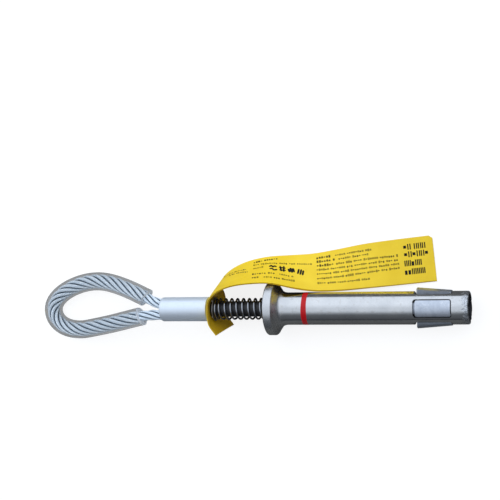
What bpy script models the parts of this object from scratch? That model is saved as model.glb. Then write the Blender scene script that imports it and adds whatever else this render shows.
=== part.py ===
"""Reusable concrete anchor with a wire rope loop, lying on a floor at z = 0.

The anchor's own frame runs along its axis: "a" grows towards the wedge tip and is 0 at
the flange's rear face, "v" is sideways and "w" is up. That frame is tipped a little, so
that the flange rim and the lowest wedge both stand on the floor.
"""
import math

import bmesh
import bpy
from mathutils import Vector

for old in list(bpy.data.objects):
    bpy.data.objects.remove(old, do_unlink=True)

MM = 0.001
TURN = 64              # sides of a turned piece

# expansion sleeve: fits a 19 mm (3/4 in) hole
SLEEVE_R = 9.4
SLEEVE_END = 116.0
FLANGE_R = 15.4
RIM = 5.3
BORE_GUIDE_R = 5.0     # flange end, guides the liner
BORE_MID_R = 6.0
BORE_TIP_R = 7.8
BORE_MID_A, BORE_TIP_A = 10.0, 64.0

# red depth band, sunk in a shallow groove
BAND_A0, BAND_A1 = 21.3, 24.3

# windows and wedges
WINDOW_A0, WINDOW_A1 = 85.6, 107.1
WINDOW_W = 10.3
WEDGE_A0, WEDGE_A1 = 87.2, 106.7
WEDGE_W = 9.6
WEDGE_LIP_A = 84.4
REACH_A0, REACH_A1 = 11.55, 9.95   # outer reach of a wedge at its two ends
RAMP_R0, RAMP_TAN = 4.9, 0.1313    # inner ramp: radius at WEDGE_A0 and slope (7.5 degrees)
GAP = 0.3

# mandrel, rope and what is on the rope
SOCKET_R, SOCKET_A0, SOCKET_A1 = 5.0, 38.0, 66.0
NECK_R = 2.5
RAMP_A0, RAMP_A1, HEAD_A1, HEAD_R = 71.0, 107.0, 112.0, 7.5
ROPE_R = 3.175
ROPE_END = 61.7
LINER_R, LINER_BORE, LINER_A0, LINER_A1 = 4.6, 3.4, -36.7, 37.0
FERRULE_R, FERRULE_A0, FERRULE_A1 = 7.2, -66.9, -37.0
LEG = 3.3              # each rope leg's offset from the axis inside the ferrule
SPRING_R, SPRING_WIRE, SPRING_A0, SPRING_A1, SPRING_TURNS = 5.9, 0.58, -32.5, -0.3, 9.5
WASHER_A0, WASHER_A1 = -33.3, -32.7
TUBE_R, TUBE_BORE = 5.6, 3.55

# the rope's route: up the axis, through the ferrule, round the eye and back
ROPE_ROUTE = [
    (61.7, 0, 0), (10, 0, 0), (-30, 0, 0), (-40, 0, 0), (-48, 1.2, 0), (-58, LEG, 0),
    (-68.5, LEG, 0), (-77.5, 7.2, -0.5), (-90, 12.4, -2.6), (-103.7, 16.2, -6.9),
    (-115.5, 17.1, -10.8), (-128, 15.1, -14.3), (-139.7, 10.2, -16.4), (-146.8, 3.0, -16.75),
    (-146.4, -5.2, -16.75), (-139.7, -11.2, -16.4), (-128, -13.1, -14.3),
    (-115.5, -11.3, -10.6), (-102, -8.8, -6.2), (-90, -6.2, -2.6), (-78.5, -3.8, -0.5),
    (-68.5, -LEG, 0), (-60, -LEG, 0)]
TUBE_FROM, TUBE_TO = -76.5, -80.5    # where the clear tube starts and stops on the legs

# two label strips lie one on the other: their edges (a, v, w), from tail to far end
LABEL_T = 0.3          # thickness of each strip
LABEL_MID = 0.28       # how far each strip's middle is from the shared surface
LABEL_CUP = [0.4, 1.8, 2.2, 2.0, 1.2, 0.4, 0, 0, 0, 0, 0, 0, 0, 0, 0]
LABEL_EDGE_1 = [
    (-29.7, -15.0, 9.4), (-33.8, -8.8, 10.2), (-34.5, -2.0, 11.0), (-34.1, 3.9, 11.2),
    (-31.2, 8.2, 11.2), (-26.4, 11.5, 10.0), (-18.7, 13.9, 9.0), (-8.7, 15.0, 8.2),
    (3.0, 15.0, 7.4), (16.0, 12.2, 4.2), (28.0, 10.4, 0.8), (42.0, 10.4, -3.4),
    (58.0, 11.6, -7.2), (76.9, 13.2, -9.8), (96.7, 15.0, -10.4)]
LABEL_EDGE_2 = [
    (-27.3, -10.5, -16.0), (-30.9, -4.5, -15.4), (-31.3, 1.8, -14.8), (-32.3, 8.2, -15.0),
    (-34.6, 13.6, -15.6), (-32.2, 18.9, -15.9), (-25.4, 24.0, -15.9), (-15.6, 27.8, -15.6),
    (-3.5, 30.0, -15.0), (10.2, 30.7, -14.3), (23.5, 31.4, -13.6), (38.0, 33.6, -13.0),
    (55.0, 36.6, -12.3), (74.6, 38.9, -11.4), (94.4, 40.8, -10.5)]

# the tip that makes both the rim and the lowest wedge corner touch the floor
TILT = math.atan((FLANGE_R - REACH_A0) / (WEDGE_A0 - RIM + 0.3))
LIFT = (RIM - 0.3) * math.sin(TILT) + FLANGE_R * math.cos(TILT)
ORIGIN_X, ORIGIN_Y = 18.65, -11.05    # puts the origin under the middle of the box

scene = bpy.context.scene
parts = bpy.data.collections.new("wire_rope_concrete_anchor")
cutters = bpy.data.collections.new("cutters")
scene.collection.children.link(parts)
scene.collection.children.link(cutters)

frame = bpy.data.objects.new("anchor_axis", None)
frame.location = (ORIGIN_X * MM, ORIGIN_Y * MM, LIFT * MM)
frame.rotation_euler = (0, TILT, 0)
parts.objects.link(frame)

COLORS = {
    "steel": ((0.62, 0.62, 0.60), 1.0, 0.28), "dark_steel": ((0.42, 0.42, 0.42), 1.0, 0.45),
    "mandrel": ((0.55, 0.55, 0.54), 1.0, 0.35), "aluminium": ((0.78, 0.79, 0.81), 1.0, 0.4),
    "rope": ((0.66, 0.69, 0.72), 1.0, 0.4), "clear": ((0.80, 0.84, 0.88), 0.0, 0.15),
    "black": ((0.03, 0.03, 0.035), 0.0, 0.35), "red": ((0.75, 0.03, 0.06), 0.0, 0.4),
    "yellow": ((0.93, 0.74, 0.05), 0.0, 0.4), "liner": ((0.05, 0.05, 0.05), 0.0, 0.5)}


def material(name, key):
    color, metallic, rough = COLORS[key]
    mat = bpy.data.materials.new(name)
    mat.use_nodes = True
    shader = mat.node_tree.nodes["Principled BSDF"]
    shader.inputs["Base Color"].default_value = (*color, 1)
    shader.inputs["Metallic"].default_value = metallic
    shader.inputs["Roughness"].default_value = rough
    return mat


def solid(name, verts, faces, key=None, smooth=False):
    """A named object from vertices in millimetres, in the anchor's own frame."""
    mesh = bpy.data.meshes.new(name)
    mesh.from_pydata([Vector(v) * MM for v in verts], [], faces)
    work = bmesh.new()
    work.from_mesh(mesh)
    bmesh.ops.recalc_face_normals(work, faces=work.faces)
    work.to_mesh(mesh)
    work.free()
    if smooth:
        for polygon in mesh.polygons:
            polygon.use_smooth = True
    obj = bpy.data.objects.new(name, mesh)
    (parts if key else cutters).objects.link(obj)
    obj.parent = frame
    if key:
        mesh.materials.append(material(name, key))
    else:
        obj.hide_render = True
        obj.display_type = "WIRE"
    return obj


def cut(obj, cutter):
    boolean = obj.modifiers.new("cut", "BOOLEAN")
    boolean.operation = "DIFFERENCE"
    boolean.solver = "EXACT"
    boolean.object = cutter


def tube_faces(rings, sides, close_ends=True, closed=False):
    """Quads between successive rings, with flat caps unless the rings join up."""
    faces = []
    last = rings if closed else rings - 1
    for i in range(last):
        j = (i + 1) % rings
        for k in range(sides):
            m = (k + 1) % sides
            faces.append((i * sides + k, i * sides + m, j * sides + m, j * sides + k))
    if close_ends and not closed:
        faces.append(tuple(range(sides))[::-1])
        faces.append(tuple((rings - 1) * sides + k for k in range(sides)))
    return faces


def turned(name, profile, key=None, bored=True, sides=TURN):
    """A piece turned about the anchor's axis from (a, radius) points."""
    verts = []
    for a, r in profile:
        for k in range(sides):
            t = 2 * math.pi * (k + 0.5) / sides
            verts.append((a, r * math.cos(t), r * math.sin(t)))
    return solid(name, verts, tube_faces(len(profile), sides, closed=bored), key)


def fillet(a0, r0, a1, r1, bend, steps=6):
    """Points along a quadratic curve from (a0, r0) to (a1, r1) by way of bend."""
    points = []
    for i in range(steps + 1):
        t = i / steps
        points.append(((1 - t) ** 2 * a0 + 2 * t * (1 - t) * bend[0] + t * t * a1,
                       (1 - t) ** 2 * r0 + 2 * t * (1 - t) * bend[1] + t * t * r1))
    return points


def spline(points, steps):
    """Catmull-Rom curve through the points."""
    points = [Vector(p) for p in points]
    first, last = 2 * points[0] - points[1], 2 * points[-1] - points[-2]
    ends = [first] + points + [last]
    curve = []
    for i in range(1, len(ends) - 2):
        p0, p1, p2, p3 = ends[i - 1:i + 3]
        for k in range(steps):
            t = k / steps
            curve.append(0.5 * (2 * p1 + (p2 - p0) * t + (2 * p0 - 5 * p1 + 4 * p2 - p3) * t ** 2
                                + (3 * p1 - p0 - 3 * p2 + p3) * t ** 3))
    return curve + [points[-1]]


def swept_rings(path, radius, sides):
    """Rings of a round section carried along a path without twist."""
    verts = []
    side = None
    for i, point in enumerate(path):
        ahead = path[min(i + 1, len(path) - 1)] - path[max(i - 1, 0)]
        ahead.normalize()
        if side is None:
            side = ahead.orthogonal().normalized()
        side = (side - ahead * side.dot(ahead)).normalized()
        up = ahead.cross(side)
        for k in range(sides):
            t = 2 * math.pi * k / sides
            verts.append(point + (side * math.cos(t) + up * math.sin(t)) * radius)
    return verts


def swept(name, path, radius, sides, key=None, bore=None):
    outer = swept_rings(path, radius, sides)
    rings = len(path)
    if bore is None:
        return solid(name, outer, tube_faces(rings, sides), key)
    inner = swept_rings(path[::-1], bore, sides)
    # the inner rings run back, so outer and inner close into one ring of rings
    inner = []
    for i in range(rings - 1, -1, -1):
        middle = path[i]
        for k in range(sides):
            inner.append(middle + (outer[i * sides + k] - middle) * (bore / radius))
    return solid(name, outer + inner, tube_faces(2 * rings, sides, closed=True), key)


# ---- expansion sleeve with its flange, windows and band groove
profile = [(0.0, BORE_GUIDE_R), (0.0, FLANGE_R - 0.6), (0.18, FLANGE_R - 0.18), (0.6, FLANGE_R),
           (RIM - 0.6, FLANGE_R), (RIM - 0.18, FLANGE_R - 0.18), (RIM, FLANGE_R - 0.6)]
profile += fillet(7.4, 11.6, 11.8, SLEEVE_R, (8.6, 9.5))
profile += [(BAND_A0 - 0.1, SLEEVE_R), (BAND_A0 - 0.1, SLEEVE_R - 0.5),
            (BAND_A1 + 0.1, SLEEVE_R - 0.5), (BAND_A1 + 0.1, SLEEVE_R),
            (SLEEVE_END - 0.4, SLEEVE_R), (SLEEVE_END, SLEEVE_R - 0.4),
            (SLEEVE_END, BORE_TIP_R), (BORE_TIP_A, BORE_TIP_R), (BORE_TIP_A, BORE_MID_R),
            (BORE_MID_A, BORE_MID_R), (BORE_MID_A, BORE_GUIDE_R)]
sleeve = turned("anchor_sleeve", profile, "steel")


def rounded_outline(a0, a1, half, corner, steps=5):
    """Outline of a rounded rectangle in (a, t), counter-clockwise."""
    points = []
    for ca, ct, start in ((a1 - corner, half - corner, 0), (a0 + corner, half - corner, 90),
                          (a0 + corner, corner - half, 180), (a1 - corner, corner - half, 270)):
        for i in range(steps + 1):
            angle = math.radians(start + 90 * i / steps)
            points.append((ca + corner * math.cos(angle), ct + corner * math.sin(angle)))
    return points


def around(points, quarter):
    """Turn (a, t, n) points, t sideways and n outward, to one of the four sides."""
    c, s = ((1, 0), (0, 1), (-1, 0), (0, -1))[quarter]
    return [(a, t * c + n * s, n * c - t * s) for a, t, n in points]


outline = rounded_outline(WINDOW_A0, WINDOW_A1, WINDOW_W / 2, 1.5)
for quarter in range(4):
    low = [(a, t, 5.6) for a, t in outline]
    high = [(a, t, 12.0) for a, t in outline]
    window = solid("window_cutter_%d" % quarter, around(low + high, quarter),
                   tube_faces(2, len(outline)))
    cut(sleeve, window)

turned("depth_band", [(BAND_A0, SLEEVE_R - 0.35), (BAND_A0, SLEEVE_R + 0.02),
                      (BAND_A1, SLEEVE_R + 0.02), (BAND_A1, SLEEVE_R - 0.35)], "red")


# ---- four wedges, each with a lip that holds it under the sleeve wall
def ramp(a):
    return RAMP_R0 + (a - WEDGE_A0) * RAMP_TAN


def wedge_ring(a, half, foot, crown, crown_r):
    """One cross-section: flat foot, 45 degree sides, upright sides and a round crown."""
    middle = crown - crown_r
    base = ramp(a)
    knee = max(base + 0.25, half + 2.3)
    shoulder = middle + math.sqrt(crown_r ** 2 - half ** 2)
    ring = [(a, -foot, base), (a, -half, knee), (a, -half, max(shoulder - 0.05, knee + 0.1))]
    for i in range(9):
        t = -half + 0.05 + (2 * half - 0.1) * i / 8
        ring.append((a, t, middle + math.sqrt(crown_r ** 2 - t * t)))
    ring += [(a, half, max(shoulder - 0.05, knee + 0.1)), (a, half, knee), (a, foot, base)]
    return ring


def wedge_points():
    rings = []
    for a in (WEDGE_LIP_A, WEDGE_A0):
        rings.append(wedge_ring(a, 3.3, 2.1, 7.5, 7.5))
    length = WEDGE_A1 - WEDGE_A0
    corner = 1.2
    edge = [0.0, 0.06, 0.24, 0.6, corner]
    stations = [WEDGE_A0 + d for d in edge] + [WEDGE_A1 - d for d in edge[::-1]]
    for a in stations:
        d = min(a - WEDGE_A0, WEDGE_A1 - a, corner)
        half = WEDGE_W / 2 - corner + math.sqrt(corner ** 2 - (corner - d) ** 2)
        f = (a - WEDGE_A0) / length
        foot = min(2.5 + 2.0 * f, half - 0.3)
        crown = REACH_A0 + (REACH_A1 - REACH_A0) * f
        if d < 0.05:
            crown -= 0.25
        rings.append(wedge_ring(a, half, foot, crown, 9.4))
    return rings


for quarter, side in enumerate(("top", "left", "bottom", "right")):
    rings = wedge_points()
    flat = [p for ring in rings for p in ring]
    solid("wedge_" + side, around(flat, quarter), tube_faces(len(rings), len(rings[0])),
          "dark_steel")

# ---- mandrel: rope socket, neck and a square ramp that is rounded to fit the bore
def mandrel_ring(a, half, radius, sides=48):
    """A square of the given half width whose corners stay inside the radius."""
    ring = []
    for k in range(sides):
        t = 2 * math.pi * (k + 0.5) / sides
        c, s = math.cos(t), math.sin(t)
        r = min(radius, half / max(abs(c), abs(s)))
        ring.append((a, r * c, r * s))
    return ring


rings = [mandrel_ring(SOCKET_A0, 99, SOCKET_R - 0.3), mandrel_ring(SOCKET_A0 + 0.3, 99, SOCKET_R),
         mandrel_ring(SOCKET_A1 - 1.2, 99, SOCKET_R), mandrel_ring(SOCKET_A1 + 0.8, 99, NECK_R),
         mandrel_ring(RAMP_A0, 99, NECK_R)]
for a in (RAMP_A0 + 0.02, 80, 89, 98, RAMP_A1):
    rings.append(mandrel_ring(a, ramp(a) - GAP, HEAD_R))
rings += [mandrel_ring(RAMP_A1 + 0.05, 99, HEAD_R), mandrel_ring(HEAD_A1 - 0.5, 99, HEAD_R),
          mandrel_ring(HEAD_A1, 99, HEAD_R - 0.5)]
flat = [p for ring in rings for p in ring]
mandrel = solid("expander_mandrel", flat, tube_faces(len(rings), 48), "mandrel")
socket = turned("socket_cutter", [(SOCKET_A0 - 2, ROPE_R + 0.15), (ROPE_END + 0.3, ROPE_R + 0.15)],
                bored=False, sides=32)
cut(mandrel, socket)

# ---- wire rope, ferrule, liner, washer, spring and clear tube
route = spline(ROPE_ROUTE, 4)
swept("wire_rope", route, ROPE_R, 14, "rope")

ferrule = turned("swage_ferrule", fillet(FERRULE_A0, 5.4, FERRULE_A0 + 1.8, FERRULE_R,
                                         (FERRULE_A0 + 0.1, FERRULE_R - 0.1))
                 + [(FERRULE_A1 - 0.5, FERRULE_R), (FERRULE_A1, FERRULE_R - 0.5)],
                 "aluminium", bored=False)
far = min(range(len(route)), key=lambda i: route[i].x)
legs = [p for p in route[:far] if -74 < p.x < -28]
back = [p for p in route[far:] if p.x > -74]
back.append(Vector((-59.6, -LEG, 0)))
for name, line in (("leg", legs), ("back", back)):
    cut(ferrule, swept(name + "_cutter", line, ROPE_R + 0.14, 14))

turned("rope_liner", [(LINER_A0, LINER_BORE), (LINER_A0, LINER_R), (LINER_A1, LINER_R),
                      (LINER_A1, LINER_BORE)], "liner", sides=32)
turned("spring_washer", [(WASHER_A0, 5.0), (WASHER_A0, 7.0), (WASHER_A1, 7.0),
                         (WASHER_A1, 5.0)], "dark_steel", sides=32)

coil = []
steps = 18
count = int(SPRING_TURNS * steps)
rise = (SPRING_A1 - SPRING_A0 - 2 * SPRING_WIRE) / count
for i in range(count + 1):
    t = 2 * math.pi * i / steps
    coil.append(Vector((SPRING_A0 + SPRING_WIRE + rise * i,
                        SPRING_R * math.cos(t), SPRING_R * math.sin(t))))
swept("return_spring", coil, SPRING_WIRE, 7, "black")

first = min(i for i in range(far) if route[i].x < TUBE_FROM)
last = max(i for i in range(far, len(route)) if route[i].x < TUBE_TO)
swept("clear_tube", route[first:last + 1], TUBE_R, 16, "clear", bore=TUBE_BORE)

# ---- label strips: two bent sheets with a hole for the liner
edge_1 = spline(LABEL_EDGE_1, 4)
edge_2 = spline(LABEL_EDGE_2, 4)
cups = [p.x for p in spline([(c, 0, 0) for c in LABEL_CUP], 4)]
COLUMNS = 7
grid = []
for p, q, cup in zip(edge_1, edge_2, cups):
    row = []
    for k in range(COLUMNS + 1):
        t = k / COLUMNS
        row.append(p.lerp(q, t) - Vector((4 * t * (1 - t) * cup, 0, 0)))
    grid.append(row)


def sheet(name, offset, thickness, key):
    """A strip of the given thickness, offset from the shared surface."""
    upper, lower = [], []
    rows, wide = len(grid), COLUMNS + 1
    for i, row in enumerate(grid):
        for k, point in enumerate(row):
            along = grid[min(i + 1, rows - 1)][k] - grid[max(i - 1, 0)][k]
            across = row[min(k + 1, COLUMNS)] - row[max(k - 1, 0)]
            normal = along.cross(across).normalized()
            upper.append(point + normal * (offset + thickness / 2))
            lower.append(point + normal * (offset - thickness / 2))
    faces = []
    shift = rows * wide
    for i in range(rows - 1):
        for k in range(COLUMNS):
            a, b = i * wide + k, i * wide + k + 1
            c, d = b + wide, a + wide
            faces.append((a, b, c, d))
            faces.append((d + shift, c + shift, b + shift, a + shift))
    border = [i * wide for i in range(rows)]
    border += [(rows - 1) * wide + k for k in range(1, wide)]
    border += [i * wide + COLUMNS for i in range(rows - 2, -1, -1)]
    border += [k for k in range(COLUMNS - 1, 0, -1)]
    for i, a in enumerate(border):
        b = border[(i + 1) % len(border)]
        faces.append((a, b, b + shift, a + shift))
    return solid(name, upper + lower, faces, key)


hole = turned("label_hole_cutter", [(-39.5, LINER_R + 0.35), (-31.5, LINER_R + 0.35)],
              bored=False, sides=32)
for name, side in (("label_front", 1), ("label_back", -1)):
    cut(sheet(name, side * LABEL_MID, LABEL_T, "yellow"), hole)
bpy.context.view_layer.update()
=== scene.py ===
import math
import random

import bmesh
import bpy
from mathutils import Matrix, Vector


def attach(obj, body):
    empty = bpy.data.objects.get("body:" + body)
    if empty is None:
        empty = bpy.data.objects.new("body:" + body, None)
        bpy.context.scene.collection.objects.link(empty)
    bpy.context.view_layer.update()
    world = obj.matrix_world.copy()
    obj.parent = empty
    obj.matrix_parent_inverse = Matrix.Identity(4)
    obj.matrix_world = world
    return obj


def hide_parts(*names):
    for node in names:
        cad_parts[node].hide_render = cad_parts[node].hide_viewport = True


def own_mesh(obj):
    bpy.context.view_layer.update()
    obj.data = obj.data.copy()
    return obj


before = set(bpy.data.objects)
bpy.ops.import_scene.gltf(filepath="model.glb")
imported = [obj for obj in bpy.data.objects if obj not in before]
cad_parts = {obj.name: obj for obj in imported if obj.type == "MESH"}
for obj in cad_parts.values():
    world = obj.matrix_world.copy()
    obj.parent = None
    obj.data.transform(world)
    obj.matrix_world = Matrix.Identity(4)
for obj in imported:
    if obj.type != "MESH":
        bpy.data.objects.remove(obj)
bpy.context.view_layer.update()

# ---------------------------------------------------------------- sizes, in millimetres
# The anchor's own frame: a along its axis towards the tip, v sideways, w up.
MM = 0.001
TILT = math.radians(2.6816017)
ORIGIN = Vector((18.65, -11.05, 15.617064698))
ANCHOR = Matrix.Translation(ORIGIN * MM) @ Matrix.Rotation(TILT, 4, "Y") @ Matrix.Scale(MM, 4)

SLEEVE_R, SLEEVE_END, FLANGE_R, RIM = 9.4, 116.0, 15.4, 5.3
ENTRY_BORE_R, MIDDLE_BORE_R, TIP_BORE_R = 5.0, 6.0, 7.8
MIDDLE_BORE_A, TIP_BORE_A, WORN_FROM = 10.0, 64.0, 112.5
BAND_A0, BAND_A1 = 21.3, 24.3
WINDOW_A0, WINDOW_A1, WINDOW_W = 85.6, 107.1, 10.3
WEDGE_A0, WEDGE_A1, WEDGE_W, WEDGE_LIP_A = 87.2, 106.7, 9.6, 84.4
REACH_A0, REACH_A1, RAMP_R0, RAMP_TAN = 11.55, 9.95, 4.9, 0.1313
SOCKET_R, SOCKET_A0, SOCKET_A1, NECK_R = 5.0, 38.0, 66.0, 2.5
RAMP_A0, RAMP_A1, HEAD_A1, HEAD_R = 71.0, 107.0, 112.0, 7.5
ROPE_R, ROPE_LAY, STRANDS, STRAND_R, STRAND_WIRES, WIRE_LAY = 3.175, 42.0, 6, 1.04, 12, 20.0
FERRULE_R, FERRULE_A0, FERRULE_A1, LEG = 7.2, -66.9, -37.0, 3.3
SPRING_R, SPRING_WIRE, SPRING_A0, SPRING_A1 = 5.9, 0.58, -32.5, -0.3
TUBE_R, TUBE_FROM, TUBE_TO = 5.6, -76.5, -80.5
ROPE_ROUTE = [
    (61.7, 0, 0), (10, 0, 0), (-30, 0, 0), (-40, 0, 0), (-48, 1.2, 0), (-58, LEG, 0),
    (-68.5, LEG, 0), (-77.5, 7.2, -0.5), (-90, 12.4, -2.6), (-103.7, 16.2, -6.9),
    (-115.5, 17.1, -10.8), (-128, 15.1, -14.3), (-139.7, 10.2, -16.4), (-146.8, 3.0, -16.75),
    (-146.4, -5.2, -16.75), (-139.7, -11.2, -16.4), (-128, -13.1, -14.3),
    (-115.5, -11.3, -10.6), (-102, -8.8, -6.2), (-90, -6.2, -2.6), (-78.5, -3.8, -0.5),
    (-68.5, -LEG, 0), (-60, -LEG, 0)]
LABEL_W, LABEL_T, LABEL_MID = 26.5, 0.3, 0.28
LABEL_CUP = [0.4, 1.8, 2.2, 2.0, 1.2, 0.4, 0, 0, 0, 0, 0, 0, 0, 0, 0]
LABEL_EDGE_1 = [
    (-29.7, -15.0, 9.4), (-33.8, -8.8, 10.2), (-34.5, -2.0, 11.0), (-34.1, 3.9, 11.2),
    (-31.2, 8.2, 11.2), (-26.4, 11.5, 10.0), (-18.7, 13.9, 9.0), (-8.7, 15.0, 8.2),
    (3.0, 15.0, 7.4), (16.0, 12.2, 4.2), (28.0, 10.4, 0.8), (42.0, 10.4, -3.4),
    (58.0, 11.6, -7.2), (76.9, 13.2, -9.8), (96.7, 15.0, -10.4)]
LABEL_EDGE_2 = [
    (-27.3, -10.5, -16.0), (-30.9, -4.5, -15.4), (-31.3, 1.8, -14.8), (-32.3, 8.2, -15.0),
    (-34.6, 13.6, -15.6), (-32.2, 18.9, -15.9), (-25.4, 24.0, -15.9), (-15.6, 27.8, -15.6),
    (-3.5, 30.0, -15.0), (10.2, 30.7, -14.3), (23.5, 31.4, -13.6), (38.0, 33.6, -13.0),
    (55.0, 36.6, -12.3), (74.6, 38.9, -11.4), (94.4, 40.8, -10.5)]


# ---------------------------------------------------------------- camera
def add_camera():
    """Nearly overhead, leaning 17 degrees towards the tip."""
    lean, roll, distance = math.radians(17.4), math.radians(1.2), 711
    forward = Vector((-math.sin(lean), 0, -math.cos(lean)))
    right = Vector((math.cos(lean), 0, -math.sin(lean)))
    up = Vector((0, 1, 0))
    right, up = (right * math.cos(roll) - up * math.sin(roll),
                 right * math.sin(roll) + up * math.cos(roll))
    spin = Matrix.Rotation(TILT, 3, "Y") @ Matrix((right, up, -forward)).transposed()
    place = ANCHOR @ (Vector((-10.9, 34.5, 0)) - distance * forward)
    camera = bpy.data.objects.new("camera", bpy.data.cameras.new("camera"))
    camera.data.lens = 87.3
    camera.data.sensor_width = 36
    camera.data.clip_start = 0.01
    camera.matrix_world = Matrix.Translation(place) @ spin.to_4x4()
    bpy.context.scene.collection.objects.link(camera)
    bpy.context.scene.camera = camera


add_camera()


# ---------------------------------------------------------------- node helpers
def node(tree, kind, *, attrs=None, **inputs):
    """A shader node; keyword inputs use underscores for spaces and take values or sockets."""
    made = tree.nodes.new(kind)
    for key, value in (attrs or {}).items():
        setattr(made, key, value)
    for key, value in inputs.items():
        socket = made.inputs[key.replace("_", " ")]
        if isinstance(value, bpy.types.NodeSocket):
            tree.links.new(value, socket)
        else:
            socket.default_value = value
    return made


def anchor_coords(tree, scale=(1, 1, 1), turn=(0, 0, 0)):
    """Millimetres along and across the anchor, whatever way it is tipped."""
    coords = node(tree, "ShaderNodeTexCoord")
    local = node(tree, "ShaderNodeMapping", attrs={"vector_type": "TEXTURE"},
                 Vector=coords.outputs["Object"], Location=ORIGIN * MM,
                 Rotation=(0, TILT, 0), Scale=(MM, MM, MM))
    return node(tree, "ShaderNodeMapping", Vector=local.outputs["Vector"], Scale=scale,
                Rotation=turn).outputs["Vector"]


def noise(tree, vector, scale=1.0, detail=3.0, roughness=0.55):
    """Noise from 0 to 1."""
    return node(tree, "ShaderNodeTexNoise", Vector=vector, Scale=scale, Detail=detail,
                Roughness=roughness).outputs["Fac"]


def ramp(tree, value, *stops):
    """Colour ramp; each stop is (position, grey or colour)."""
    made = node(tree, "ShaderNodeValToRGB", Fac=value)
    elements = made.color_ramp.elements
    while len(elements) < len(stops):
        elements.new(0.5)
    for element, (position, color) in zip(elements, stops):
        element.position = position
        element.color = (*color, 1) if hasattr(color, "__len__") else (color, color, color, 1)
    return made.outputs["Color"]


def mix(tree, factor, a, b, kind="MIX"):
    """Blends two colours, or a colour and a socket."""
    made = tree.nodes.new("ShaderNodeMix")
    made.data_type = "RGBA"
    made.blend_type = kind
    for socket, value in ((made.inputs[0], factor), (made.inputs[6], a), (made.inputs[7], b)):
        if isinstance(value, bpy.types.NodeSocket):
            tree.links.new(value, socket)
        elif hasattr(value, "__len__"):
            socket.default_value = (*value, 1)
        else:
            socket.default_value = value
    return made.outputs[2]


def math_node(tree, operation, a, b=0.0):
    """A sum on one or two numbers or sockets."""
    made = tree.nodes.new("ShaderNodeMath")
    made.operation = operation
    for socket, value in zip(made.inputs, (a, b)):
        if isinstance(value, bpy.types.NodeSocket):
            tree.links.new(value, socket)
        else:
            socket.default_value = value
    return made.outputs[0]


def bump(tree, height, strength, depth_mm, normal=None):
    """Fine relief, on top of an earlier one where normal is given."""
    made = node(tree, "ShaderNodeBump", Height=height, Strength=strength,
                Distance=depth_mm * MM)
    if normal is not None:
        tree.links.new(normal, made.inputs["Normal"])
    return made.outputs["Normal"]


def new_look(name, **values):
    """A material with a Principled shader and plain values on its sockets."""
    mat = bpy.data.materials.new(name)
    mat.use_nodes = True
    shader = mat.node_tree.nodes["Principled BSDF"]
    for key, value in values.items():
        shader.inputs[key.replace("_", " ")].default_value = value
    return mat, mat.node_tree, shader


def scratches(tree, angle, scale=1.0, width=0.012, spread=(0.16, 3.2, 3.2)):
    """Thin bright lines of one direction: 1 on a scratch, 0 off it."""
    vector = anchor_coords(tree, scale=spread, turn=(0, math.radians(4), math.radians(angle)))
    value = noise(tree, vector, scale=scale, detail=2.0, roughness=0.4)
    off = math_node(tree, "ABSOLUTE", math_node(tree, "SUBTRACT", value, 0.5))
    line = ramp(tree, off, (0.0, 1.0), (width, 0.0))
    patch = ramp(tree, noise(tree, anchor_coords(tree), 0.35, 2.0), (0.48, 0.0), (0.62, 1.0))
    return math_node(tree, "MULTIPLY", line, patch)


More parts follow.
